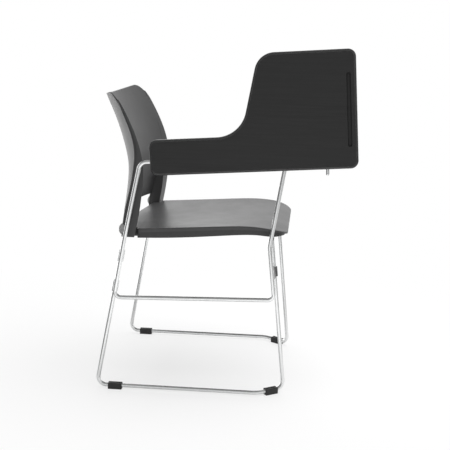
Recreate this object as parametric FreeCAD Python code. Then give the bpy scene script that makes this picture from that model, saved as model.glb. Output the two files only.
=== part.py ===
"""Student desk chair: wire sled frame, moulded seat and back, flip-up writing tablet.

Frame: X runs across the chair (the tablet side is -X), Y runs back (the front is -Y), Z is up.
The origin is on the floor, midway between the side frames and midway along the runners.
Millimetres throughout.
"""
import FreeCAD, Part
import math
import os

V = FreeCAD.Vector
os.makedirs("parts", exist_ok=True)

# ---- driving dimensions: wire frame -------------------------------------------------
rod_d = 11.0
frame_half_width = 250.0
frame_lean = 0.04             # inward lean of each side frame, per mm of height
runner_z = 10.0
runner_rear_y = 255.0
runner_bend_r = 22.0
rear_slope = 0.175            # rear upright leans forward, per mm of height
rear_upright_top = 560.0
toe_start_y = -187.0          # here each runner turns inward
toe_bend_r = 55.0
toe_end = (200.0, -256.2)     # here it turns up
toe_end_bend_r = 22.0
front_slope = 0.1074          # front upright leans back, per mm of height
front_lean = 0.0143           # and outward
front_rod_z = 431.0
front_inward_run = 45.0
front_bend_r = 25.0
rear_rod_z = 427.0

# ---- driving dimensions: arm loop ---------------------------------------------------
loop_x = -253.0
arm_rear_y = 139.0
arm_rear_z = 628.7
arm_tilt = math.radians(4.3)
arm_length = 385.0
loop_low_rear = (208.2, 260.4)
loop_low_front = (-223.9, 273.0)
loop_kink = (-207.1, 420.4)
loop_rear_kink = (178.6, 430.0)
loop_low_r = 16.0

# ---- driving dimensions: clamps that hold the loop to the side frame ------------------
rear_clip_heights = {"upper": 373.5, "lower": 290.5}
rear_clip_h = 32.0
front_clamp_height = 340.5
front_clamp_h = 25.5
clamp_wall = 2.9
clamp_waist = 4.8
clamp_screw_d = 3.0
clamp_split_gap = 0.6

# ---- driving dimensions: glides -------------------------------------------------------
glide_length = 38.0
glide_width = 17.0
glide_height = 17.5
glide_corner_r = 2.2
glide_slit = 5.0              # along the top, so the foot snaps on from below
glide_rear_y = 204.0
glide_toe_share = 0.515       # place of the front glide along the toed-in run

# ---- driving dimensions: seat ---------------------------------------------------------
seat_half_width = 226.0
seat_front_y = -252.0
seat_rear_y = 198.0
seat_rear_flat = 82.0
seat_rear_side_y = 176.5
seat_step_y = 152.3
seat_rear_half_width = 200.0
seat_dish = 6.0
seat_fade = 119.0             # the dish and half the rim fade out over this front length
seat_skin = 4.0
seat_rim_depth = 10.0
seat_rim_front_depth = 4.5
seat_rim_width = 4.5
base_front_y = -246.0
base_rear_y = 171.5
seat_edge_r = 2.5
base_wall = 3.5
base_inset = 1.6
base_rib = 2.5
base_rib_pitch = 72.0
base_rib_lift = 5.0
seat_top_profile = [(206, 442.3), (151, 446), (88, 450.3), (-19, 457.6), (-90, 462.6),
                    (-139, 464.6), (-184, 462.4), (-219, 456.5), (-240, 450), (-258, 441)]
seat_low_profile = [(206, 418), (164, 420), (88, 423), (-19, 430.4), (-90, 437),
                    (-139, 440.9), (-184, 440.7), (-219, 437.2), (-240, 437), (-258, 435.2)]
rail_x = 150.0
rail_width = 30.0
rail_thickness = 3.0
rail_rear_overhang = 2.5
rail_front_overhang = 8.0
rail_screws = {-150.0: 12.5, 120.0: 7.0}
seat_screw_d = 5.0
seat_boss_d = 14.0

# ---- driving dimensions: backrest -----------------------------------------------------
# height, front face y at the side edge, bow at the middle, half width,
# depth of the side strut, its width, set-back of its inner front edge,
# set-back of the panel's side edge, radius of the strut's outer rear corner
back_stations = [
    (415.0, 157.4, 66.0, 241.0, 35.5, 38.0, 7.0, 29.0, 8.0),
    (455.0, 149.6, 66.5, 239.4, 40.0, 38.0, 7.0, 33.5, 8.0),
    (500.0, 141.9, 67.0, 237.6, 41.5, 38.0, 7.0, 35.0, 8.0),
    (550.0, 136.3, 68.5, 235.0, 36.5, 37.0, 10.0, 29.0, 8.0),
    (600.0, 134.6, 71.0, 230.2, 30.5, 30.0, 14.5, 17.5, 8.0),
    (650.0, 142.5, 73.0, 224.0, 22.5, 20.0, 11.8, 12.6, 15.0),
    (700.0, 159.8, 71.0, 218.5, 15.5, 14.0, 8.4, 8.9, 11.0),
    (755.0, 186.5, 65.5, 213.4, 10.9, 9.0, 5.0, 5.4, 7.2),
    (815.0, 221.0, 54.0, 211.0, 9.8, 8.5, 4.0, 4.3, 6.6),
]
cavity_stations = 5
back_bottom_z = 425.0
back_skin = 5.0
back_top_z = 804.0
back_top_dip = 12.0
back_top_flat = 175.0
back_corner_width = 33.0      # the rounding of each top corner is taller than wide
back_corner_height = 48.0
back_opening_top = 472.0
back_opening_half_width = 201.0
back_opening_r = 8.0
strut_wall = 3.4
strut_cavity_top = 590.0
strut_rib = 2.5
socket_d = 15.6
socket_clearance = 0.02
boss_z = 444.5
boss_r = 18.2
boss_rear_y = 199.5
boss_inner_x = 217.0
boss_outer_x = 239.6
boss_round_r = 9.0
back_screw_d = 6.0
back_screw_head_d = 10.5
back_screw_head_h = 3.3
back_screw_recess_d = 12.0
back_screw_recess = 7.0

# ---- driving dimensions: tablet (a runs forward along the arm, b up, c outward) --------
tablet_under = 12.0
tablet_thickness = 18.0
tablet_rear_a = 30.0
tablet_front_a = 566.0
tablet_low_b = -33.0
tablet_arm_b = 60.0
tablet_top_b = 268.0
tablet_neck_low_a = 269.0
tablet_neck_top_a = 321.6
tablet_neck_r = 80.0
tablet_shoulder_r = 52.0
tablet_corner_r = 20.0
tablet_face_round = 6.0
tablet_under_round = 6.0
edge_band_width = 6.5
joint_width = 1.0             # shallow line between the board and its edge band
joint_depth = 0.8
groove_a = 545.7
groove_low_b = 23.0
groove_top_b = 210.0
groove_width = 10.5
groove_depth = 5.0
hinge_half_height = 18.0
hinge_half_depth = 12.0
hinge_gap = 0.4
hinge_bore_d = 12.4
bush_bore_d = 11.1
bush_outer_d = 15.0
bush_slit = 1.5
hinge_screw_b = 12.5
hinge_screw_d = 4.2
hinge_screw_head_d = 8.0
hinge_screw_head_h = 2.6
hinge_screw_bite = 11.0
hinges = {"rear": (75.0, 115.0, 75.0, 101.0), "front": (312.0, 348.0, 314.0, 346.0)}
stop_pin_a = 107.5
stop_pin_d = 4.0
stop_pin_reach = 9.4
stop_pin_angle = 45.0         # below the inward direction, with the tablet up
stop_slot_clearance = 0.3
peg_a = 487.0
peg_b = -13.0
peg_d = 9.0
peg_c = 2.0
peg_tip_b = -52.5
peg_bend_r = 7.0
peg_plate = (44.0, 20.0, 3.0)
peg_screw_spacing = 30.0

nodes = {}


# ---- shape helpers --------------------------------------------------------------------
def corner_points(before, corner, after, radius):
    """Start, middle and end of the arc that rounds a corner."""
    back = (before - corner).normalize()
    ahead = (after - corner).normalize()
    half = 0.5 * back.getAngle(ahead)
    reach = radius / math.tan(half)
    bisector = (back + ahead).normalize()
    middle = corner + bisector * (radius / math.sin(half) - radius)
    return corner + back * reach, middle, corner + ahead * reach


def rounded_wire(corners, closed=False):
    """A wire of straight runs joined by tangent arcs; corners are (point, radius)."""
    points = [c[0] for c in corners]
    edges = []
    count = len(points)
    first = 0 if closed else 1
    last = count if closed else count - 1
    arcs = [corner_points(points[i - 1], points[i], points[(i + 1) % count], corners[i][1])
            for i in range(first, last)]
    here = arcs[-1][2] if closed else points[0]
    for start, middle, end in arcs:
        if here.distanceToPoint(start) > 1e-6:
            edges.append(Part.LineSegment(here, start).toShape())
        edges.append(Part.Arc(start, middle, end).toShape())
        here = end
    if not closed:
        edges.append(Part.LineSegment(here, points[-1]).toShape())
    return Part.Wire(edges)


def rod_along(path, diameter):
    """A solid round rod whose centre line is the wire."""
    first = path.OrderedEdges[0]
    start = first.valueAt(first.FirstParameter)
    tangent = first.tangentAt(first.FirstParameter)
    ring = Part.Wire(Part.Circle(start, tangent, 0.5 * diameter).toShape())
    return path.makePipeShell([ring], True, True)


def cylinder(start, end, diameter):
    axis = end - start
    return Part.makeCylinder(0.5 * diameter, axis.Length, start, axis)


def box(low, high):
    return Part.makeBox(high[0] - low[0], high[1] - low[1], high[2] - low[2], V(*low))


def prism(wire, direction):
    return Part.Face(wire).extrude(direction)


def mirrored(shape):
    """The same piece on the other side of the chair."""
    return shape.mirror(V(0, 0, 0), V(1, 0, 0))


def main_solid(shape):
    """The solid itself, without any cut-off slivers."""
    return max(shape.Solids, key=lambda solid: solid.Volume)


def clean(shape):
    """The main solid, without leftover seams."""
    return main_solid(shape.removeSplitter())


# ---- wire frame -------------------------------------------------------------------------
def frame_x(z):
    """Half width between the rear uprights."""
    return frame_half_width - frame_lean * (z - runner_z)


def front_x(z):
    """Half width between the front uprights."""
    return toe_end[0] + front_lean * (z - runner_z)


def rear_y(z):
    return runner_rear_y - rear_slope * (z - runner_z)


def front_y(z):
    return toe_end[1] + front_slope * (z - runner_z)


def side_frame():
    """Right-hand side frame: rear upright, floor runner, front upright and inward end."""
    top_x = front_x(front_rod_z)
    top_y = front_y(front_rod_z)
    corners = [
        (V(-frame_x(rear_upright_top), rear_y(rear_upright_top), rear_upright_top), 0),
        (V(-frame_half_width, runner_rear_y, runner_z), runner_bend_r),
        (V(-frame_half_width, toe_start_y, runner_z), toe_bend_r),
        (V(-toe_end[0], toe_end[1], runner_z), toe_end_bend_r),
        (V(-top_x, top_y, front_rod_z), front_bend_r),
        (V(front_inward_run - top_x, top_y, front_rod_z), 0),
    ]
    return rod_along(rounded_wire(corners), rod_d)


def front_cross_rod():
    reach = front_x(front_rod_z) - front_inward_run
    return cylinder(V(-reach, front_y(front_rod_z), front_rod_z),
                    V(reach, front_y(front_rod_z), front_rod_z), rod_d)


def rear_cross_rod(frames):
    reach = frame_x(rear_rod_z)
    rod = cylinder(V(-reach, rear_y(rear_rod_z), rear_rod_z),
                   V(reach, rear_y(rear_rod_z), rear_rod_z), rod_d)
    return rod.cut(frames)


def seat_rail(side):
    """Flat bar that lies on both cross rods; side is -1 or 1."""
    low_z = rear_rod_z + 0.5 * rod_d
    high_z = front_rod_z + 0.5 * rod_d
    rear = rear_y(rear_rod_z)
    front = front_y(front_rod_z)
    slope = (high_z - low_z) / (front - rear)
    ends = [(y, low_z + slope * (y - rear))
            for y in (rear + rail_rear_overhang, front - rail_front_overhang)]
    x = side * rail_x - 0.5 * rail_width
    outline = [V(x, y, z) for y, z in ends]
    outline += [V(x, y, z + rail_thickness) for y, z in reversed(ends)]
    rail = prism(Part.makePolygon(outline + outline[:1]), V(rail_width, 0, 0))
    for y in rail_screws:
        hole = cylinder(V(side * rail_x, y, low_z - 20), V(side * rail_x, y, high_z + 20),
                        seat_screw_d)
        rail = rail.cut(hole)
    return rail


def rail_top(y):
    low_z = rear_rod_z + 0.5 * rod_d
    high_z = front_rod_z + 0.5 * rod_d
    share = (y - rear_y(rear_rod_z)) / (front_y(front_rod_z) - rear_y(rear_rod_z))
    return low_z + share * (high_z - low_z) + rail_thickness


# ---- arm loop ---------------------------------------------------------------------------
def arm_point(a, b, c):
    """Place in the chair of a point given along, above and outward of the arm's axis."""
    return V(loop_x - c,
             arm_rear_y - a * math.cos(arm_tilt) + b * math.sin(arm_tilt),
             arm_rear_z + a * math.sin(arm_tilt) + b * math.cos(arm_tilt))


def arm_placement():
    sine = math.sin(arm_tilt)
    cosine = math.cos(arm_tilt)
    return FreeCAD.Placement(FreeCAD.Matrix(0, 0, -1, loop_x,
                                            -cosine, sine, 0, arm_rear_y,
                                            sine, cosine, 0, arm_rear_z,
                                            0, 0, 0, 1))


def on_arm(shape):
    placed = shape.copy()
    placed.Placement = arm_placement()
    return placed


def loop_rear_point(z):
    share = (z - loop_low_rear[1]) / (loop_rear_kink[1] - loop_low_rear[1])
    y = loop_low_rear[0] + share * (loop_rear_kink[0] - loop_low_rear[0])
    return V(loop_x, y, z)


def loop_front_point(z):
    share = (z - loop_low_front[1]) / (loop_kink[1] - loop_low_front[1])
    y = loop_low_front[0] + share * (loop_kink[0] - loop_low_front[0])
    return V(loop_x, y, z)


def arm_loop():
    """Closed loop: arm rod on top, two bent uprights, and the bar low on the side frame."""
    corners = [
        (V(loop_x, *loop_low_rear), loop_low_r),
        (V(loop_x, *loop_rear_kink), 260.0),
        (arm_point(0, 0, 0), 22.0),
        (arm_point(arm_length, 0, 0), 24.0),
        (V(loop_x, *loop_kink), 30.0),
        (V(loop_x, *loop_low_front), loop_low_r),
    ]
    loop = rod_along(rounded_wire(corners, closed=True), rod_d)
    return loop.cut(stop_pin())


# ---- clamps between the loop and the side frame --------------------------------------------
def clamp(main_point, loop_point, direction, height, rods, screw_sign):
    """Two halves of a cuff round the frame rod with a saddle on the loop, and their screw."""
    radius = 0.5 * rod_d + clamp_wall
    base_main = main_point - direction * (0.5 * height)
    base_loop = loop_point - direction * (0.5 * height)
    span = base_loop - base_main
    across = V(span).normalize()
    forward = direction.cross(across).normalize()
    if forward.y > 0:
        forward = forward * -1
    cuff = cylinder(base_main, base_main + direction * height, 2 * radius)
    reach = forward * clamp_waist
    bridge = Part.makePolygon([base_main + reach, base_loop + reach, base_loop - reach,
                               base_main - reach, base_main + reach])
    body = cuff.fuse(prism(bridge, direction * height)).cut(rods)
    screw_place = main_point + across * min(0.5 * span.Length, radius + 5.0)
    head_start = screw_place + forward * (screw_sign * clamp_waist)
    shank = cylinder(head_start, head_start - forward * (screw_sign * (2 * clamp_waist - 0.5)),
                     clamp_screw_d)
    head = cylinder(head_start, head_start + forward * (screw_sign * 2.2), 2 * clamp_screw_d)
    screw = shank.fuse(head)
    body = body.cut(screw)
    far = 60.0
    corner = base_main - direction * far - across * far
    side = [corner, corner + across * (3 * far), corner + across * (3 * far) + direction * (3 * far),
            corner + direction * (3 * far), corner]
    halves = []
    for sign in (1, -1):
        start = [p + forward * (sign * 0.5 * clamp_split_gap) for p in side]
        half_space = prism(Part.makePolygon(start), forward * (sign * far))
        halves.append(clean(body.common(half_space)))
    return halves[0], halves[1], clean(screw)


# ---- glides -----------------------------------------------------------------------------
def glide(x, y, turn):
    """Plastic foot that snaps on to the runner from below; turn is in degrees."""
    half = 0.5 * glide_width
    start = -0.5 * glide_length
    corners = [
        (V(-half, start, 0), 1.2),
        (V(half, start, 0), 1.2),
        (V(half, start, glide_height), glide_corner_r),
        (V(-half, start, glide_height), glide_corner_r),
    ]
    body = prism(rounded_wire(corners, closed=True), V(0, glide_length, 0))
    ends = [e for e in body.Edges
            if abs(e.BoundBox.YMin - e.BoundBox.YMax) < 1e-6 and e.BoundBox.ZMax > 2]
    body = body.makeFillet(1.0, ends)
    bore = cylinder(V(0, -glide_length, runner_z), V(0, glide_length, runner_z), rod_d)
    slit = box((-0.5 * glide_slit, -glide_length, runner_z),
               (0.5 * glide_slit, glide_length, 2 * glide_height))
    foot = clean(body.cut(bore).cut(slit))
    foot.rotate(V(0, 0, 0), V(0, 0, 1), turn)
    foot.translate(V(x, y, 0))
    return foot


def front_glide(side):
    """The front foot, in line with the toed-in run of the runner."""
    run_x = toe_end[0] - frame_half_width
    run_y = toe_end[1] - toe_start_y
    turn = math.degrees(math.atan2(run_x, -run_y))
    return glide(side * (frame_half_width + glide_toe_share * run_x),
                 toe_start_y + glide_toe_share * run_y, side * turn)


# ---- seat -------------------------------------------------------------------------------
def seat_outline(inset, front=seat_front_y, rear=seat_rear_y, rear_side=seat_rear_side_y):
    """Plan of the seat, pulled in by an amount all round, as a tall prism."""
    side = seat_half_width
    narrow = seat_rear_half_width
    corners = [
        (V(-side, front, 380), 62.0),
        (V(side, front, 380), 62.0),
        (V(side, seat_step_y, 380), 7.0),
        (V(narrow, seat_step_y, 380), 5.0),
        (V(narrow, rear_side, 380), 8.0),
        (V(seat_rear_flat, rear, 380), 250.0),
        (V(-seat_rear_flat, rear, 380), 250.0),
        (V(-narrow, rear_side, 380), 8.0),
        (V(-narrow, seat_step_y, 380), 5.0),
        (V(-side, seat_step_y, 380), 7.0),
    ]
    wire = rounded_wire(corners, closed=True)
    if inset > 0:
        wire = wire.makeOffset2D(-inset)
    return prism(wire, V(0, 0, 120))


def base_outline(inset):
    """Plan of the part under the shell, which stops short of the front and of the rear rod."""
    return seat_outline(inset, base_front_y, base_rear_y, base_rear_y - 1)


def curve(points):
    spline = Part.BSplineCurve()
    spline.interpolate(points)
    return spline.toShape()


def front_share(y):
    """1 over most of the seat, falling to 0 at the front edge."""
    return max(0.0, min(1.0, (y - seat_top_profile[-1][0]) / seat_fade))


def dish_at(x, y):
    share = x / (seat_half_width + 4)
    return seat_dish * (1 - share * share) * front_share(y)


def rim_depth(y):
    return seat_rim_front_depth + (seat_rim_depth - seat_rim_front_depth) * front_share(y)


def seat_slab(top_drop, low_drop=None, low_lift=0.0):
    """Full-width slab under the dished seat surface, down to a drop or to the skirt line.

    Each drop is a depth below the surface, or a rule that gives the depth at a place y.
    """
    sections = []
    for share in (-1.0, -0.5, 0.0, 0.5, 1.0):
        x = share * (seat_half_width + 4)
        top = [V(x, y, z - dish_at(x, y) - depth(top_drop, y)) for y, z in seat_top_profile]
        if low_drop is None:
            low = [V(x, y, z + low_lift) for y, z in seat_low_profile]
        else:
            low = [V(x, y, z - dish_at(x, y) - depth(low_drop, y)) for y, z in seat_top_profile]
        edges = [curve(top), Part.LineSegment(top[-1], low[-1]).toShape(),
                 curve(low[::-1]), Part.LineSegment(low[0], top[0]).toShape()]
        sections.append(Part.Wire(edges))
    return Part.makeLoft(sections, True, False)


def depth(rule, y):
    return rule(y) if callable(rule) else rule


def seat_shell():
    """Dished upper shell with a turned-down rim, trimmed to clear the rear rod and rails."""
    whole = seat_outline(0)
    hollow = seat_slab(seat_skin, seat_rim_depth + 6).common(seat_outline(seat_rim_width))
    shell = seat_slab(0, rim_depth).common(whole).cut(hollow)
    rim_edges = [e for e in shell.Edges if on_top_rim(e)]
    shell = clean(shell.makeFillet(seat_edge_r, rim_edges))
    rod_top = rear_rod_z + 0.5 * rod_d
    shell = shell.cut(box((-300, base_rear_y, 400), (300, 300, rod_top + 0.6)))
    for side in (-1, 1):
        half = 0.5 * rail_width + 0.5
        shell = shell.cut(box((side * rail_x - half, base_rear_y, 400),
                              (side * rail_x + half, 300, rod_top + rail_thickness + 0.4)))
    return clean(shell)


def seat_surface_z(x, y):
    """Height of the dished top surface, from straight lines between profile points."""
    for (y0, z0), (y1, z1) in zip(seat_top_profile, seat_top_profile[1:]):
        if y1 <= y <= y0:
            return z0 + (z1 - z0) * (y - y0) / (y1 - y0) - dish_at(x, y)
    return seat_top_profile[0][1]


def on_top_rim(edge):
    middle = edge.valueAt(0.5 * (edge.FirstParameter + edge.LastParameter))
    return middle.z > seat_surface_z(middle.x, middle.y) - 1.2


def seat_base():
    """Lower frame: skirt wall, rib grid and screw bosses, open below for rails and rods."""
    skirt = seat_slab(rim_depth, None).common(base_outline(base_inset))
    skirt = skirt.cut(base_outline(base_inset + base_wall))
    inner = seat_slab(seat_skin, None, base_rib_lift).common(seat_outline(seat_rim_width + 0.3))
    inner = inner.common(base_outline(base_inset))
    grid = []
    count_x = int(seat_half_width / base_rib_pitch)
    for i in range(-count_x, count_x + 1):
        x = i * base_rib_pitch
        grid.append(box((x - 0.5 * base_rib, -300, 400), (x + 0.5 * base_rib, 300, 480)))
    for i in range(-3, 3):
        y = (i + 0.32) * base_rib_pitch
        grid.append(box((-300, y - 0.5 * base_rib, 400), (300, y + 0.5 * base_rib, 480)))
    for side in (-1, 1):
        for y in rail_screws:
            grid.append(cylinder(V(side * rail_x, y, 400), V(side * rail_x, y, 480), seat_boss_d))
    ribs = inner.common(grid[0].multiFuse(grid[1:]))
    base = skirt.fuse(ribs)
    for side in (-1, 1):
        x = side * rail_x
        half = 0.5 * rail_width + 0.5
        ends = (rear_y(rear_rod_z) + 9, front_y(front_rod_z) - 9)
        roof = [V(x - half, y, rail_top(y)) for y in ends]
        roof += [V(x - half, y, 400) for y in reversed(ends)]
        base = base.cut(prism(Part.makePolygon(roof + roof[:1]), V(2 * half, 0, 0)))
        for y, length in rail_screws.items():
            end = rail_top(y) - rail_thickness + length + 0.5
            base = base.cut(cylinder(V(x, y, 400), V(x, y, end), seat_screw_d))
    half = 0.5 * rod_d + 0.4
    reach = front_x(front_rod_z) + half
    y = front_y(front_rod_z)
    base = base.cut(cylinder(V(-reach, y, front_rod_z), V(reach, y, front_rod_z), 2 * half))
    base = base.cut(box((-reach, y - half, 400), (reach, y + half, front_rod_z)))
    return clean(base)


def seat_screws():
    screws = []
    for side in (-1, 1):
        for y, length in rail_screws.items():
            under = rail_top(y) - rail_thickness
            shank = cylinder(V(side * rail_x, y, under), V(side * rail_x, y, under + length),
                             seat_screw_d)
            head = cylinder(V(side * rail_x, y, under - 3), V(side * rail_x, y, under + 0.15),
                            2 * seat_screw_d)
            rail = nodes["seat_rail_right" if side < 0 else "seat_rail_left"]
            screws.append(clean(shank.fuse(head.cut(rail))))
    return Part.makeCompound(screws)


# ---- backrest ---------------------------------------------------------------------------
def segment(start, end):
    return Part.LineSegment(start, end).toShape()


def back_section(station):
    """Closed outline at one height: bowed panel between two rounded side struts."""
    z, face_y, bow, half_width, depth, width, setback, panel_back, radius = station
    swing = radius * (1 - math.sqrt(0.5))
    inner = half_width - width
    panel_y = face_y + panel_back
    rear = face_y + depth
    lip = 0.5
    side = [
        V(inner, panel_y, z),
        V(inner + lip, face_y + setback, z),
        V(half_width, face_y, z),
        V(half_width, rear - radius, z),
        V(half_width - swing, rear - swing, z),
        V(half_width - radius, rear, z),
        V(inner, rear, z),
        V(inner - lip, panel_y + back_skin, z),
    ]
    other = [V(-p.x, p.y, z) for p in side]
    edges = [Part.Arc(other[0], V(0, face_y + bow, z), side[0]).toShape()]
    edges += [segment(side[i], side[i + 1]) for i in (0, 1, 2)]
    edges.append(Part.Arc(side[3], side[4], side[5]).toShape())
    edges += [segment(side[i], side[i + 1]) for i in (5, 6)]
    edges.append(Part.Arc(side[7], V(0, face_y + bow + back_skin, z), other[7]).toShape())
    edges += [segment(other[i + 1], other[i]) for i in (6, 5)]
    edges.append(Part.Arc(other[5], other[4], other[3]).toShape())
    edges += [segment(other[i + 1], other[i]) for i in (2, 1, 0)]
    return Part.Wire(edges)


def strut_cavity_section(station):
    z, face_y, _, half_width, depth, width, setback, _, _ = station
    outer = half_width - strut_wall
    inner = half_width - width + strut_wall
    rear = face_y + depth - strut_wall
    points = [V(outer, face_y + strut_wall + 0.8, z), V(outer, rear, z),
              V(inner, rear, z), V(inner, face_y + setback + strut_wall + 1.2, z)]
    return Part.makePolygon(points + points[:1])


def rod_axis(side, z):
    return V(side * frame_x(z), rear_y(z), z)


def boss():
    """Rounded drum behind the foot of the left strut, about the fixing screw."""
    centre_y = boss_rear_y - boss_r
    drum = cylinder(V(boss_inner_x, centre_y, boss_z), V(boss_outer_x, centre_y, boss_z), 2 * boss_r)
    rims = [e for e in drum.Edges if e.BoundBox.XMax - e.BoundBox.XMin < 1e-6]
    return drum.makeFillet(boss_round_r, rims)


def strut_fittings(cavity):
    """Web, rod socket and screw boss inside one strut."""
    web_x = frame_x(strut_cavity_top - 80)
    web = cavity.common(box((web_x - 0.5 * strut_rib, 0, 380), (web_x + 0.5 * strut_rib, 300, 600)))
    socket = cylinder(rod_axis(1, 400), rod_axis(1, rear_upright_top + 8), socket_d)
    return [web, socket.common(cavity), boss().common(cavity)]


def screw_bore(side):
    """Recess and clearance hole for one fixing screw."""
    x = side * frame_x(boss_z)
    recess = cylinder(V(x, boss_rear_y - back_screw_recess, boss_z),
                      V(x, boss_rear_y + 5, boss_z), back_screw_recess_d)
    return recess.fuse(cylinder(V(x, rear_y(boss_z), boss_z), V(x, boss_rear_y, boss_z),
                                back_screw_d))


def fixing_cap(side, back):
    """Domed cap between the strut and the head of its fixing screw."""
    dome = boss() if side > 0 else mirrored(boss())
    outside = dome.cut(back).cut(screw_bore(side))
    return clean(max(outside.Solids, key=lambda solid: solid.BoundBox.YMax))


def back_screw(side):
    x = side * frame_x(boss_z)
    seat_y = boss_rear_y - back_screw_recess
    shank = cylinder(V(x, seat_y, boss_z), V(x, rear_y(boss_z), boss_z), back_screw_d)
    head = cylinder(V(x, seat_y, boss_z), V(x, seat_y + back_screw_head_h, boss_z), back_screw_head_d)
    socket = cylinder(V(x, seat_y + 1, boss_z), V(x, seat_y + 10, boss_z), 4.0)
    return clean(shank.fuse(head).cut(socket))


def corner_trim(side):
    """What is cut away to round one top corner."""
    side_x = 212.8
    start_z = back_top_z - back_corner_height
    centre_x = side_x - back_corner_width
    points = []
    for i in range(9):
        swing = 0.5 * math.pi * i / 8
        points.append(V(side * (centre_x + back_corner_width * math.cos(swing)), 0,
                        start_z + back_corner_height * math.sin(swing)))
    outside = Part.makePolygon([points[-1], points[-1] + V(0, 0, 40),
                                V(side * 260, 0, back_top_z + 40), V(side * 260, 0, start_z),
                                points[0]])
    return prism(Part.Wire([curve(points)] + outside.Edges), V(0, 400, 0))


def backrest():
    """One moulding: bowed panel, side struts and the opening above the seat."""
    back = Part.makeLoft([back_section(s) for s in back_stations], True, False)
    cavity = Part.makeLoft([strut_cavity_section(s) for s in back_stations[:cavity_stations]],
                           True, False)
    cavity = cavity.common(box((100, 0, 380), (300, 300, strut_cavity_top)))
    low_z = back_top_z - back_top_dip
    top_r = (back_top_flat ** 2 + back_top_dip ** 2) / (2 * back_top_dip)
    half = back_opening_half_width
    opening = [(V(-half, 0, 380), 5.0), (V(half, 0, 380), 5.0),
               (V(half, 0, back_opening_top), back_opening_r),
               (V(-half, 0, back_opening_top), back_opening_r)]
    back = back.cut(Part.makeCylinder(top_r, 400, V(0, 0, low_z + top_r), V(0, 1, 0)))
    for tool in (corner_trim(-1), corner_trim(1), cavity, mirrored(cavity),
                 prism(rounded_wire(opening, closed=True), V(0, 400, 0))):
        back = back.cut(tool)
    for piece in strut_fittings(cavity):
        back = back.fuse(piece).fuse(mirrored(piece))
    back = back.cut(box((-300, 0, 380), (300, 400, back_bottom_z)))
    half = 0.5 * rod_d + 0.3
    rod_y = rear_y(rear_rod_z)
    for side in (-1, 1):
        back = back.cut(cylinder(rod_axis(side, 400), rod_axis(side, rear_upright_top),
                                 rod_d + 2 * socket_clearance))
        back = back.cut(screw_bore(side))
        start = V(side * frame_x(rear_rod_z), rod_y, rear_rod_z)
        end = V(side * 150, rod_y, rear_rod_z)
        back = back.cut(cylinder(start, end, 2 * half))
        low_x, high_x = sorted((start.x, end.x))
        back = back.cut(box((low_x, rod_y - half, 400), (high_x, rod_y + half, rear_rod_z)))
    return main_solid(back)


# ---- tablet, in the arm's own directions ---------------------------------------------------
def tablet_outline(inset):
    corners = [
        (V(tablet_rear_a, tablet_low_b, 0), tablet_corner_r),
        (V(tablet_front_a, tablet_low_b, 0), tablet_corner_r),
        (V(tablet_front_a, tablet_top_b, 0), tablet_corner_r),
        (V(tablet_neck_top_a, tablet_top_b, 0), tablet_shoulder_r),
        (V(tablet_neck_low_a, tablet_arm_b, 0), tablet_neck_r),
        (V(tablet_rear_a, tablet_arm_b, 0), tablet_corner_r),
    ]
    wire = rounded_wire(corners, closed=True)
    if inset > 0:
        wire = wire.makeOffset2D(-inset)
    wire.translate(V(0, 0, tablet_under))
    return wire


def tablet_slab():
    slab = prism(tablet_outline(0), V(0, 0, tablet_thickness))
    face = tablet_under + tablet_thickness
    upper = [e for e in slab.Edges if e.BoundBox.ZMin > face - 0.01]
    slab = slab.makeFillet(tablet_face_round, upper)
    lower = [e for e in slab.Edges if e.BoundBox.ZMax < tablet_under + 0.01]
    return slab.makeFillet(tablet_under_round, lower)


def screw_hole_places():
    places = []
    for low, high, _, _ in hinges.values():
        for b in (-hinge_screw_b, hinge_screw_b):
            places.append((0.5 * (low + high), b))
    return places


def hinge_screws():
    screws = []
    for a, b in screw_hole_places():
        start = -hinge_half_depth
        shank = cylinder(V(a, b, start), V(a, b, tablet_under + hinge_screw_bite), hinge_screw_d)
        head = cylinder(V(a, b, start - hinge_screw_head_h), V(a, b, start), hinge_screw_head_d)
        socket = cylinder(V(a, b, start - hinge_screw_head_h), V(a, b, start - 1), 3.0)
        screws.append(clean(shank.fuse(head).cut(socket)))
    return screws


def peg_screws():
    screws = []
    under = tablet_under - peg_plate[2]
    for side in (-1, 1):
        a = peg_a + 0.5 * side * peg_screw_spacing
        shank = cylinder(V(a, peg_b, under), V(a, peg_b, tablet_under + 9), 4.0)
        head = cylinder(V(a, peg_b, under - 2), V(a, peg_b, under), 7.5)
        screws.append(clean(shank.fuse(head)))
    return screws


def pencil_groove():
    half = 0.5 * groove_width
    face = tablet_under + tablet_thickness
    corners = [(V(groove_a - half, groove_low_b, face - groove_depth), half - 0.3),
               (V(groove_a + half, groove_low_b, face - groove_depth), half - 0.3),
               (V(groove_a + half, groove_top_b, face - groove_depth), half - 0.3),
               (V(groove_a - half, groove_top_b, face - groove_depth), half - 0.3)]
    groove = prism(rounded_wire(corners, closed=True), V(0, 0, groove_depth + 2))
    floor_edges = [e for e in groove.Edges if e.BoundBox.ZMax < face - groove_depth + 0.01]
    return groove.makeFillet(2.0, floor_edges)


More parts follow.
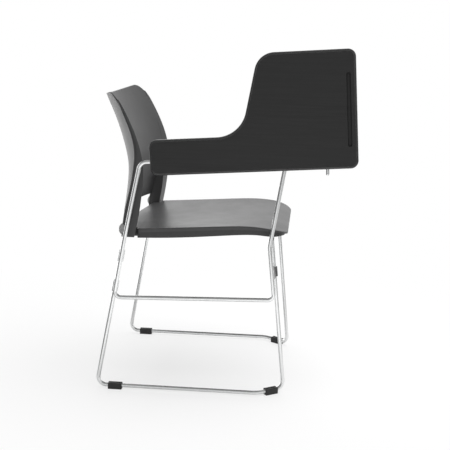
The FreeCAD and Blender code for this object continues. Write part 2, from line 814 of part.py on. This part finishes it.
def hinge_halves(low, high, bush_low, bush_high, with_stop):
    """Base against the board and cap over the rod, bored for the rod and its bush."""
    corners = [(V(low, -hinge_half_height, -hinge_half_depth), 7.0),
               (V(low, hinge_half_height, -hinge_half_depth), 7.0),
               (V(low, hinge_half_height, hinge_half_depth), 0.8),
               (V(low, -hinge_half_height, hinge_half_depth), 0.8)]
    block = prism(rounded_wire(corners, closed=True), V(high - low, 0, 0))
    block = block.cut(cylinder(V(low - 1, 0, 0), V(high + 1, 0, 0), hinge_bore_d))
    block = block.cut(cylinder(V(bush_low, 0, 0), V(bush_high, 0, 0), bush_outer_d))
    for b in (-hinge_screw_b, hinge_screw_b):
        a = 0.5 * (low + high)
        block = block.cut(cylinder(V(a, b, -20), V(a, b, 20), hinge_screw_d))
    if with_stop:
        block = block.cut(stop_slot())
    half_gap = 0.5 * hinge_gap
    base = block.common(box((low, -40, half_gap), (high, 40, 40)))
    cap = block.common(box((low, -40, -40), (high, 40, -half_gap)))
    return clean(base), clean(cap)


def bush(low, high):
    ring = cylinder(V(low, 0, 0), V(high, 0, 0), bush_outer_d)
    ring = ring.cut(cylinder(V(low - 1, 0, 0), V(high + 1, 0, 0), bush_bore_d))
    slit = box((low - 1, 0, -0.5 * bush_slit), (high + 1, bush_outer_d, 0.5 * bush_slit))
    return ring.cut(slit)


def pin_direction(turn):
    """Direction of the stop pin seen from the tablet after it has turned by an angle."""
    angle = math.radians(stop_pin_angle - turn)
    return V(0, -math.sin(angle), -math.cos(angle))


def stop_slot():
    """Quarter-turn slot that the stop pin travels in."""
    half = 0.5 * stop_pin_d + stop_slot_clearance
    reach = stop_pin_reach + stop_slot_clearance
    centre = V(stop_pin_a, 0, 0)
    sweep = Part.makeCylinder(reach, 2 * half, V(stop_pin_a - half, 0, 0), V(1, 0, 0))
    start = pin_direction(0)
    end = pin_direction(90)
    wedge = Part.makePolygon([V(stop_pin_a - half, 0, 0), V(stop_pin_a - half, 0, 0) + start * 30,
                              V(stop_pin_a - half, 0, 0) + (start + end) * 30,
                              V(stop_pin_a - half, 0, 0) + end * 30, V(stop_pin_a - half, 0, 0)])
    slot = sweep.common(prism(wedge, V(2 * half, 0, 0)))
    for direction in (start, end):
        slot = slot.fuse(cylinder(centre, centre + direction * reach, 2 * half))
    return slot


def stop_pin():
    centre = V(stop_pin_a, 0, 0)
    return on_arm(cylinder(centre, centre + pin_direction(0) * stop_pin_reach, stop_pin_d))


def bag_peg():
    """Short bent peg on a screwed plate under the board."""
    under = tablet_under - peg_plate[2]
    length, height, thickness = peg_plate
    half = 0.5 * height
    corners = [(V(peg_a - 0.5 * length, peg_b - half, under), half - 0.5),
               (V(peg_a + 0.5 * length, peg_b - half, under), half - 0.5),
               (V(peg_a + 0.5 * length, peg_b + half, under), half - 0.5),
               (V(peg_a - 0.5 * length, peg_b + half, under), half - 0.5)]
    plate = prism(rounded_wire(corners, closed=True), V(0, 0, thickness))
    tip = V(peg_a, peg_tip_b + 0.5 * peg_d, peg_c)
    path = rounded_wire([(V(peg_a, peg_b, tablet_under), 0), (V(peg_a, peg_b, peg_c), peg_bend_r),
                         (tip, 0)])
    peg = plate.fuse(rod_along(path, peg_d)).fuse(Part.makeSphere(0.5 * peg_d, tip))
    for screw in peg_screws():
        peg = peg.cut(screw)
    return clean(peg)


# ---- build every node ----------------------------------------------------------------------
right_frame = side_frame()
left_frame = mirrored(right_frame)
for side_screw in (back_screw(-1), back_screw(1)):
    right_frame = right_frame.cut(side_screw)
    left_frame = left_frame.cut(side_screw)
nodes["side_frame_right"] = clean(right_frame)
nodes["side_frame_left"] = clean(left_frame)
nodes["front_cross_rod"] = front_cross_rod()
nodes["rear_cross_rod"] = clean(rear_cross_rod(right_frame.fuse(left_frame)))
nodes["seat_rail_right"] = seat_rail(-1)
nodes["seat_rail_left"] = seat_rail(1)
for side_name, side_sign in (("right", -1), ("left", 1)):
    nodes["glide_rear_" + side_name] = glide(side_sign * frame_half_width, glide_rear_y, 0)
    nodes["glide_front_" + side_name] = front_glide(side_sign)

nodes["seat_shell"] = seat_shell()
nodes["seat_base"] = seat_base()
nodes["seat_screws"] = seat_screws()
nodes["backrest"] = backrest()
nodes["fixing_cap_right"] = fixing_cap(-1, nodes["backrest"])
nodes["fixing_cap_left"] = fixing_cap(1, nodes["backrest"])
nodes["backrest_screws"] = Part.makeCompound([back_screw(-1), back_screw(1)])

nodes["arm_loop"] = arm_loop()
nodes["stop_pin"] = stop_pin()
both_rods = nodes["side_frame_right"].fuse(nodes["arm_loop"])
rear_up = (rod_axis(-1, 400) - rod_axis(-1, 300)).normalize()
front_up = V(-front_lean, front_slope, 1).normalize()
front_main = V(-front_x(front_clamp_height), front_y(front_clamp_height), front_clamp_height)
clamp_places = {
    "upper_clip": (rod_axis(-1, rear_clip_heights["upper"]),
                   loop_rear_point(rear_clip_heights["upper"]), rear_up, rear_clip_h, -1),
    "lower_clip": (rod_axis(-1, rear_clip_heights["lower"]),
                   loop_rear_point(rear_clip_heights["lower"]), rear_up, rear_clip_h, -1),
    "front_clamp": (front_main, loop_front_point(front_clamp_height), front_up, front_clamp_h, -1),
}
clamp_screws = []
for name, (main, loop, up, height, screw_side) in clamp_places.items():
    front_half, rear_half, clip_screw = clamp(main, loop, up, height, both_rods, screw_side)
    nodes[name + "_front_half"] = front_half
    nodes[name + "_rear_half"] = rear_half
    clamp_screws.append(clip_screw)
nodes["clamp_screws"] = Part.makeCompound(clamp_screws)

slab = tablet_slab()
joint = prism(tablet_outline(edge_band_width - 0.5 * joint_width), V(0, 0, 2 * tablet_thickness))
joint = joint.cut(prism(tablet_outline(edge_band_width + 0.5 * joint_width),
                        V(0, 0, 2 * tablet_thickness)))
joint.translate(V(0, 0, tablet_thickness - joint_depth))
slab = slab.cut(joint)
board = slab.common(prism(tablet_outline(edge_band_width), V(0, 0, tablet_thickness)))
board = board.cut(pencil_groove())
for screw in hinge_screws() + peg_screws():
    board = board.cut(screw)
nodes["tablet_board"] = on_arm(clean(board))
nodes["tablet_edge_band"] = on_arm(clean(slab.cut(prism(tablet_outline(edge_band_width),
                                                        V(0, 0, tablet_thickness)))))
for name, (low, high, bush_low, bush_high) in hinges.items():
    base, cap = hinge_halves(low, high, bush_low, bush_high, name == "rear")
    nodes["hinge_base_" + name] = on_arm(base)
    nodes["hinge_cap_" + name] = on_arm(cap)
    nodes["hinge_bush_" + name] = on_arm(bush(bush_low, bush_high))
nodes["hinge_screws"] = on_arm(Part.makeCompound(hinge_screws()))
nodes["bag_peg"] = on_arm(bag_peg())
nodes["peg_screws"] = on_arm(Part.makeCompound(peg_screws()))

for name, shape in nodes.items():
    bounds = shape.BoundBox
    print("%-24s solids %d valid %s volume %.0f x %.1f..%.1f y %.1f..%.1f z %.1f..%.1f" % (
        name, len(shape.Solids), shape.isValid(), shape.Volume,
        bounds.XMin, bounds.XMax, bounds.YMin, bounds.YMax, bounds.ZMin, bounds.ZMax))
    shape.exportStep("parts/" + name + ".step")
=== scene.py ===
import bpy
from mathutils import Matrix, Vector

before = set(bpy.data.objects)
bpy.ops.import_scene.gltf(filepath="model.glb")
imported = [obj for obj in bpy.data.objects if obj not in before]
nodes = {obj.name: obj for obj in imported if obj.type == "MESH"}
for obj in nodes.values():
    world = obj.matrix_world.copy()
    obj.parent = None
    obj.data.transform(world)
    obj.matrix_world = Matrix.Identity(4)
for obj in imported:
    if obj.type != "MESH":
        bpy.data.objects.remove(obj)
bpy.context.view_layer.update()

scene = bpy.context.scene


# ---- camera ---------------------------------------------------------------------------
CAMERA_AT = Vector((-2.7642, -0.3057, 0.9769))
CAMERA_RIGHT = Vector((0.09132, -0.99551, 0.02511))
CAMERA_UP = Vector((0.19356, 0.04248, 0.98017))
LENS_MM = 78.22
SENSOR_MM = 36.0


def make_camera():
    """A camera on the tablet's side of the chair, looking a little down."""
    data = bpy.data.cameras.new("camera")
    data.lens = LENS_MM
    data.sensor_width = SENSOR_MM
    camera = bpy.data.objects.new("camera", data)
    scene.collection.objects.link(camera)
    away = CAMERA_RIGHT.cross(CAMERA_UP)
    turn = Matrix((CAMERA_RIGHT, CAMERA_UP, away)).transposed().to_4x4()
    camera.matrix_world = Matrix.Translation(CAMERA_AT) @ turn
    scene.camera = camera


# ---- node helpers ---------------------------------------------------------------------
# The Mix node repeats its socket names for each data type, so these go by number.
MIX_FLOATS = (2, 3)
MIX_FLOAT_OUT = 0
MIX_COLOURS = (6, 7)
MIX_COLOUR_OUT = 2


class Graph:
    """Short calls that add and link shader nodes of one tree."""

    def __init__(self, tree):
        self.tree = tree

    def add(self, kind, settings=None, **inputs):
        """A node with its settings, and its inputs by name with _ for a space."""
        node = self.tree.nodes.new(kind)
        for name, value in (settings or {}).items():
            setattr(node, name, value)
        for name, value in inputs.items():
            self.feed(node, name.replace("_", " "), value)
        return node

    def feed(self, node, socket, value):
        """Links a socket into the input, or sets the input to a plain value."""
        target = node.inputs[socket]
        if isinstance(value, bpy.types.NodeSocket):
            self.tree.links.new(value, target)
        else:
            target.default_value = value

    def math(self, operation, first, second=0.0):
        node = self.add("ShaderNodeMath", {"operation": operation})
        self.feed(node, 0, first)
        self.feed(node, 1, second)
        return node.outputs[0]

    def times(self, first, second):
        return self.math("MULTIPLY", first, second)

    def plus(self, first, second):
        return self.math("ADD", first, second)

    def minus(self, first, second):
        return self.math("SUBTRACT", first, second)

    def spread(self, value, low, high, to_low=0.0, to_high=1.0):
        """Eases the value from the band low..high to to_low..to_high, flat outside it."""
        node = self.add("ShaderNodeMapRange", {"interpolation_type": "SMOOTHSTEP"},
                        Value=value, From_Min=low, From_Max=high,
                        To_Min=to_low, To_Max=to_high)
        return node.outputs["Result"]

    def blend(self, share, first, second):
        """The first colour where the share is 0, the second where it is 1."""
        node = self.add("ShaderNodeMix", {"data_type": "RGBA"}, Factor=share)
        for socket, colour in zip(MIX_COLOURS, (first, second)):
            self.feed(node, socket, colour)
        return node.outputs[MIX_COLOUR_OUT]

    def noise(self, vector, scale, detail, roughness=0.5):
        node = self.add("ShaderNodeTexNoise", Vector=vector, Scale=scale, Detail=detail,
                        Roughness=roughness)
        return node.outputs["Fac"]

    def stretched(self, vector, factors):
        return self.add("ShaderNodeMapping", Vector=vector, Scale=factors).outputs[0]

    def x_y_z(self, vector):
        return self.add("ShaderNodeSeparateXYZ", Vector=vector).outputs

    def seen_directly(self):
        """1 for rays from the camera, 0 for rays that light a surface or reflect in it."""
        return self.add("ShaderNodeLightPath").outputs["Is Camera Ray"]

    def bump(self, shader, height, strength, depth):
        node = self.add("ShaderNodeBump", Strength=strength, Distance=depth)
        self.feed(node, "Height", height)
        self.feed(shader, "Normal", node.outputs[0])


def grey(value, tint=(1.0, 1.0, 1.0)):
    return (value * tint[0], value * tint[1], value * tint[2], 1.0)


def new_material(name):
    """A material, its graph, its Principled shader and the object's own coordinates."""
    material = bpy.data.materials.new(name)
    material.use_nodes = True
    graph = Graph(material.node_tree)
    shader = material.node_tree.nodes["Principled BSDF"]
    place = graph.add("ShaderNodeTexCoord").outputs["Object"]
    return material, graph, shader, place


# The painted shade band is how open a place is, for shade painted into grooves and joints,
# and the edge band is the cosine between a face and its rounded edge.
PAINTED_SHADE_RAYS = 6
PAINTED_SHADE_BAND = (0.96, 0.60)
EDGE_RAYS = 4
EDGE_BAND = (0.995, 0.86)


def painted_crevice_shade(graph, reach):
    """Painted shade: 1 deep in a groove or a joint, 0 on open faces."""
    shelter = graph.add("ShaderNodeAmbientOcclusion", {"samples": PAINTED_SHADE_RAYS},
                        Distance=reach)
    return graph.spread(shelter.outputs["AO"], *PAINTED_SHADE_BAND)


def edge_share(graph, width):
    """1 on convex or concave edges narrower than the width, 0 on flat faces."""
    rounded = graph.add("ShaderNodeBevel", {"samples": EDGE_RAYS}, Radius=width).outputs[0]
    plain = graph.add("ShaderNodeNewGeometry").outputs["Normal"]
    dot = graph.add("ShaderNodeVectorMath", {"operation": "DOT_PRODUCT"})
    graph.feed(dot, 0, rounded)
    graph.feed(dot, 1, plain)
    return graph.spread(dot.outputs["Value"], *EDGE_BAND)


# ---- materials ------------------------------------------------------------------------
# A noise is (scale, detail, roughness), where the scale, or the stretch before it, is per
# metre. A band is (from, to). A tone named here is a factor of the material's own tone.
MM = 0.001

PLASTIC_CLOUD = (9.0, 4.0, 0.55)
PLASTIC_CLOUD_BAND = (0.3, 0.7)
PLASTIC_CLOUD_TONES = (0.95, 1.05)
PLASTIC_FLECK = (160.0, 3.0, 0.6)
PLASTIC_FLECK_SHARE = 0.16
PLASTIC_FLECK_TONE = 1.35
PLASTIC_SCUFF = (60.0, 4.0, 0.65)
PLASTIC_SCUFF_BAND = (0.35, 0.62)
PLASTIC_WEAR_AND_HIGHLIGHT_TONE = 2.4
PLASTIC_WORN_SHINE = 0.2
PLASTIC_POLISH = (14.0, 3.0, 0.6)
PLASTIC_POLISH_BAND = (0.3, 0.7)
PLASTIC_POLISH_SPAN = 0.02
PLASTIC_GRAIN_DETAIL = 2.0
PLASTIC_GRAIN_BUMP = 0.55


def moulded_plastic(name, tone, rough, grain_mm, grain_height_mm, tint=(1.0, 1.0, 1.0),
                    wear_and_highlight_strength=0.35, wear_and_highlight_mm=1.1):
    """Moulded plastic or powder coat: fine grain, faint flow marks, shine, and lighter edges
    that are partly wear and partly a painted highlight.
    """
    material, graph, shader, place = new_material(name)
    cloud = graph.noise(place, *PLASTIC_CLOUD)
    flecks = graph.noise(place, *PLASTIC_FLECK)
    dark, light = (grey(tone * factor, tint) for factor in PLASTIC_CLOUD_TONES)
    tones = graph.blend(graph.spread(cloud, *PLASTIC_CLOUD_BAND), dark, light)
    tones = graph.blend(graph.times(flecks, PLASTIC_FLECK_SHARE), tones,
                        grey(tone * PLASTIC_FLECK_TONE, tint))
    scuffs = graph.spread(graph.noise(place, *PLASTIC_SCUFF), *PLASTIC_SCUFF_BAND)
    # Lighter rounded edges: real wear, and where the strength is high, a painted highlight.
    wear_and_highlight = graph.times(graph.times(edge_share(graph, wear_and_highlight_mm * MM), scuffs), wear_and_highlight_strength)
    graph.feed(shader, "Base Color",
               graph.blend(wear_and_highlight, tones, grey(tone * PLASTIC_WEAR_AND_HIGHLIGHT_TONE, tint)))
    polish = graph.spread(graph.noise(place, *PLASTIC_POLISH), *PLASTIC_POLISH_BAND,
                          rough + PLASTIC_POLISH_SPAN, rough - PLASTIC_POLISH_SPAN)
    graph.feed(shader, "Roughness",
               graph.minus(polish, graph.times(wear_and_highlight, PLASTIC_WORN_SHINE)))
    grain = graph.noise(place, 1.0 / (grain_mm * MM), PLASTIC_GRAIN_DETAIL)
    graph.bump(shader, grain, PLASTIC_GRAIN_BUMP, grain_height_mm * MM)
    return material


METAL_LINE_STRETCH = (900.0, 900.0, 60.0)
METAL_LINE = (1.0, 3.0, 0.6)
METAL_LINE_BUMP = 0.3
METAL_LINE_HEIGHT_MM = 0.004
METAL_STAIN = (35.0, 5.0, 0.6)
METAL_STAIN_BAND = (0.52, 0.75)
METAL_STAIN_TONE = 0.6
METAL_STAIN_DULL = 0.08
METAL_WAVE = (22.0, 3.0)
METAL_WAVE_BAND = (0.3, 0.7)
METAL_WAVE_ROUGH = (-0.03, 0.04)


def metal(name, tone, rough, tint=(1.0, 1.0, 1.0), stain=0.12):
    """Plated or bare steel: fine polishing lines and faint duller stains."""
    material, graph, shader, place = new_material(name)
    lines = graph.noise(graph.stretched(place, METAL_LINE_STRETCH), *METAL_LINE)
    stains = graph.spread(graph.noise(place, *METAL_STAIN), *METAL_STAIN_BAND)
    graph.feed(shader, "Base Color",
               graph.blend(graph.times(stains, stain), grey(tone, tint),
                           grey(tone * METAL_STAIN_TONE, tint)))
    shader.inputs["Metallic"].default_value = 1.0
    shine, dull = (rough + change for change in METAL_WAVE_ROUGH)
    waves = graph.spread(graph.noise(place, *METAL_WAVE), *METAL_WAVE_BAND, shine, dull)
    graph.feed(shader, "Roughness", graph.plus(waves, graph.times(stains, METAL_STAIN_DULL)))
    graph.bump(shader, lines, METAL_LINE_BUMP, METAL_LINE_HEIGHT_MM * MM)
    return material


BOARD_GRAIN_STRETCH = (40.0, 7.0, 220.0)
BOARD_GRAIN = (1.0, 5.0, 0.6)
BOARD_GRAIN_BAND = (0.35, 0.68)
BOARD_GRAIN_TONES = (0.84, 1.16)
BOARD_CLOUD_STRETCH = (4.0, 1.6, 9.0)
BOARD_CLOUD = (1.0, 3.0)
BOARD_CLOUD_BAND = (0.35, 0.65)
BOARD_CLOUD_SHARE = 0.4
BOARD_CLOUD_TONE = 1.2
BOARD_PAINTED_SHADE_MM = 6.0
BOARD_PAINTED_SHADE_TONE = 0.15
BOARD_ROUGH_BAND = (0.7, 1.3)
BOARD_ROUGH = (0.42, 0.54)
BOARD_PORE_STRETCH = (900.0, 260.0, 1100.0)
BOARD_PORE = (1.0, 2.0)
BOARD_PORE_GRAIN = 0.6
BOARD_PORE_BUMP = 0.5
BOARD_PORE_DEPTH_MM = 0.06
BOARD_SPECULAR = 0.35


def laminate(name, tone):
    """Textured laminate: faint grain along the board, pores, and shade painted darker into
    the grooves.
    """
    material, graph, shader, place = new_material(name)
    grain = graph.noise(graph.stretched(place, BOARD_GRAIN_STRETCH), *BOARD_GRAIN)
    cloud = graph.noise(graph.stretched(place, BOARD_CLOUD_STRETCH), *BOARD_CLOUD)
    dark, light = (grey(tone * factor) for factor in BOARD_GRAIN_TONES)
    tones = graph.blend(graph.spread(grain, *BOARD_GRAIN_BAND), dark, light)
    tones = graph.blend(graph.spread(cloud, *BOARD_CLOUD_BAND, 0.0, BOARD_CLOUD_SHARE),
                        tones, grey(tone * BOARD_CLOUD_TONE))
    # Grooves and joints are painted darker, as painted shade.
    painted_groove_shade = painted_crevice_shade(graph, BOARD_PAINTED_SHADE_MM * MM)
    graph.feed(shader, "Base Color",
               graph.blend(painted_groove_shade, tones, grey(tone * BOARD_PAINTED_SHADE_TONE)))
    graph.feed(shader, "Roughness",
               graph.spread(graph.plus(grain, cloud), *BOARD_ROUGH_BAND, *BOARD_ROUGH))
    pores = graph.noise(graph.stretched(place, BOARD_PORE_STRETCH), *BOARD_PORE)
    height = graph.plus(pores, graph.times(grain, BOARD_PORE_GRAIN))
    graph.bump(shader, height, BOARD_PORE_BUMP, BOARD_PORE_DEPTH_MM * MM)
    shader.inputs["Specular IOR Level"].default_value = BOARD_SPECULAR
    return material


CHROME_TINT = (0.99, 1.0, 1.0)
SHELL_TINT = (1.0, 1.0, 1.01)

# slot: tone, roughness, then the metal's own settings
METALS = {
    "chrome_rod": (0.88, 0.19, {"tint": CHROME_TINT}),
    "chrome_clip": (0.70, 0.24, {"tint": CHROME_TINT}),
    "screw_steel": (0.58, 0.28, {"stain": 0.3}),
}

# slot: tone, roughness, grain width and height in mm, then the plastic's own settings
PLASTICS = {
    "rail_steel": (0.095, 0.34, 0.9, 0.02, {"wear_and_highlight_strength": 0.8, "wear_and_highlight_mm": 0.8}),
    "glide_plastic": (0.022, 0.50, 0.5, 0.05, {"wear_and_highlight_strength": 0.6}),
    "seat_plastic": (0.062, 0.38, 0.7, 0.06, {"tint": SHELL_TINT}),
    "seat_base_plastic": (0.045, 0.50, 0.6, 0.06, {}),
    "back_plastic": (0.054, 0.40, 0.7, 0.06, {"tint": SHELL_TINT}),
    # The edge band's strong, wide, lighter edges are a painted highlight on its rounded rim.
    "edge_plastic": (0.030, 0.27, 0.8, 0.03, {"wear_and_highlight_strength": 1.0, "wear_and_highlight_mm": 3.0}),
    "hinge_plastic": (0.025, 0.46, 0.5, 0.05, {}),
    "cap_plastic": (0.34, 0.36, 0.6, 0.03, {"wear_and_highlight_strength": 0.1}),
    "bush_plastic": (0.40, 0.42, 0.5, 0.03, {"wear_and_highlight_strength": 0.1}),
}

BOARD_TONE = 0.021


def make_materials():
    """One material for each slot. The steel of the rails and front clamp is powder coated."""
    materials = {"tablet_laminate": laminate("tablet_laminate", BOARD_TONE)}
    for recipe, table in ((metal, METALS), (moulded_plastic, PLASTICS)):
        for slot, (*numbers, settings) in table.items():
            materials[slot] = recipe(slot, *numbers, **settings)
    return materials


def dress_nodes():
    """Gives every CAD node the material of its own slot."""
    materials = make_materials()
    for node in nodes.values():
        for place in node.material_slots:
            slot = place.material.name.split(".")[0]
            place.material = materials[slot]


# ---- floor ----------------------------------------------------------------------------
# Bands of x and y are in metres on the floor: -Y is in front of the chair, -X is the
# tablet's side.
FLOOR_HALF = 12.0
FLOOR_TONE = 0.90
FLOOR_ROUGH = 0.55
FADE_BAND = (0.35, 1.3)
FADE_SHARES = (0.68, 1.0)

REFLECTED_TONE = 0.85
REFLECTED_SIDES = (
    # axis, band, tone
    ("y", (-0.35, -1.0), 0.42),
    ("y", (0.25, 0.9), 0.10),
    ("x", (0.0, 0.8), 0.85),
)
REAR_CORNER_BAND = (0.3, 0.9)
REAR_CORNER_LIGHT = 1.0
TABLET_SIDE_BAND = (-0.35, -0.8)
TABLET_SIDE_ENDS = (3.0, 0.9)
TABLET_SIDE_LIGHT = 0.35


def reflected_tone(graph, x, y):
    """The tone that the chair reflects: dim in front, dark behind, pale on the far side."""
    tone = grey(REFLECTED_TONE)
    for axis, band, side_tone in REFLECTED_SIDES:
        share = graph.spread(x if axis == "x" else y, *band)
        tone = graph.blend(share, tone, grey(side_tone))
    return tone


def reflected_light(graph, x, y):
    """The light that the chair reflects: the far rear corner and the tablet's side."""
    corner = graph.times(graph.spread(x, *REAR_CORNER_BAND),
                         graph.spread(y, *REAR_CORNER_BAND))
    corner = graph.times(corner, REAR_CORNER_LIGHT)
    side = graph.times(graph.spread(x, *TABLET_SIDE_BAND), TABLET_SIDE_LIGHT)
    side = graph.times(side, graph.spread(graph.math("ABSOLUTE", y), *TABLET_SIDE_ENDS))
    return graph.plus(corner, side)


def make_floor():
    """A pale floor with soft shadows near the chair, which fades to white further out."""
    mesh = bpy.data.meshes.new("floor")
    h = FLOOR_HALF
    mesh.from_pydata([(-h, -h, 0), (h, -h, 0), (h, h, 0), (-h, h, 0)], [], [(0, 1, 2, 3)])
    floor = bpy.data.objects.new("floor", mesh)
    scene.collection.objects.link(floor)
    material, graph, shader, place = new_material("floor")
    x, y = graph.x_y_z(place)[:2]
    seen = graph.seen_directly()
    graph.feed(shader, "Base Color",
               graph.blend(seen, reflected_tone(graph, x, y), grey(FLOOR_TONE)))
    shader.inputs["Roughness"].default_value = FLOOR_ROUGH
    glow = graph.add("ShaderNodeEmission", Color=grey(1.0))
    graph.feed(glow, "Strength",
               graph.times(reflected_light(graph, x, y), graph.minus(1.0, seen)))
    lit = graph.add("ShaderNodeAddShader")
    graph.feed(lit, 0, shader.outputs[0])
    graph.feed(lit, 1, glow.outputs[0])
    length = graph.add("ShaderNodeVectorMath", {"operation": "LENGTH"})
    graph.feed(length, 0, place)
    fade = graph.spread(length.outputs["Value"], *FADE_BAND, *FADE_SHARES)
    white = graph.add("ShaderNodeEmission", Strength=1.0)
    mixed = graph.add("ShaderNodeMixShader")
    graph.feed(mixed, 0, graph.times(fade, seen))
    graph.feed(mixed, 1, lit.outputs[0])
    graph.feed(mixed, 2, white.outputs[0])
    output = graph.tree.nodes["Material Output"]
    graph.feed(output, "Surface", mixed.outputs[0])
    mesh.materials.append(material)


# ---- light ----------------------------------------------------------------------------
# Bands of x, y and z are parts of a direction of length 1.
SEEN_LEVEL = 1.0
BASE_LEVEL = 0.30
LOW_BAND = (0.58, 0.30)
FAR_WALL_BAND = (0.1, 0.7)
FAR_WALL_LIGHT = 0.82
TABLET_WALL_BAND = (-0.3, -0.85)
TABLET_WALL_LIGHT = 0.42
REAR_WALL_CORNER_BAND = (0.85, 1.35)
REAR_WALL_CORNER_LIGHT = 0.8
FRONT_BAND = (-0.3, -0.9)
FRONT_LIGHT = 0.22
REAR_BAND = (0.3, 0.9)
REAR_LIGHT = -0.10

LAMP_SIDE = 2.6
LAMP_WATTS = 72.0
LAMP_AT = (0.3, -0.6, 2.5)


def reflected_level(graph):
    """The room that lights the chair and reflects in it: bright low down, dim behind."""
    x, y, z = graph.x_y_z(graph.add("ShaderNodeTexCoord").outputs["Generated"])
    low_down = graph.spread(z, *LOW_BAND)
    far_wall = graph.times(graph.spread(x, *FAR_WALL_BAND), low_down)
    tablet_wall = graph.times(graph.spread(x, *TABLET_WALL_BAND), low_down)
    corner = graph.times(graph.spread(graph.plus(x, y), *REAR_WALL_CORNER_BAND), low_down)
    level = BASE_LEVEL
    for share, light in (
        (far_wall, FAR_WALL_LIGHT),
        (tablet_wall, TABLET_WALL_LIGHT),
        (corner, REAR_WALL_CORNER_LIGHT),
        (graph.spread(y, *FRONT_BAND), FRONT_LIGHT),
        (graph.spread(y, *REAR_BAND), REAR_LIGHT),
    ):
        level = graph.plus(level, graph.times(share, light))
    return level


def make_light():
    """Plain white behind the chair, a room that lights it, and a soft lamp overhead."""
    world = bpy.data.worlds.new("studio")
    scene.world = world
    world.use_nodes = True
    graph = Graph(world.node_tree)
    strength = graph.add("ShaderNodeMix", {"data_type": "FLOAT"})
    graph.feed(strength, 0, graph.seen_directly())
    for socket, level in zip(MIX_FLOATS, (reflected_level(graph), SEEN_LEVEL)):
        graph.feed(strength, socket, level)
    background = world.node_tree.nodes["Background"]
    background.inputs["Color"].default_value = grey(1.0)
    graph.feed(background, "Strength", strength.outputs[MIX_FLOAT_OUT])
    scene.view_settings.view_transform = "Standard"
    lamp = bpy.data.lights.new("overhead", "AREA")
    lamp.shape = "RECTANGLE"
    lamp.size = LAMP_SIDE
    lamp.size_y = LAMP_SIDE
    lamp.energy = LAMP_WATTS
    lamp_object = bpy.data.objects.new("overhead", lamp)
    lamp_object.location = LAMP_AT
    lamp_object.visible_glossy = False
    scene.collection.objects.link(lamp_object)


make_camera()
dress_nodes()
make_floor()
make_light()
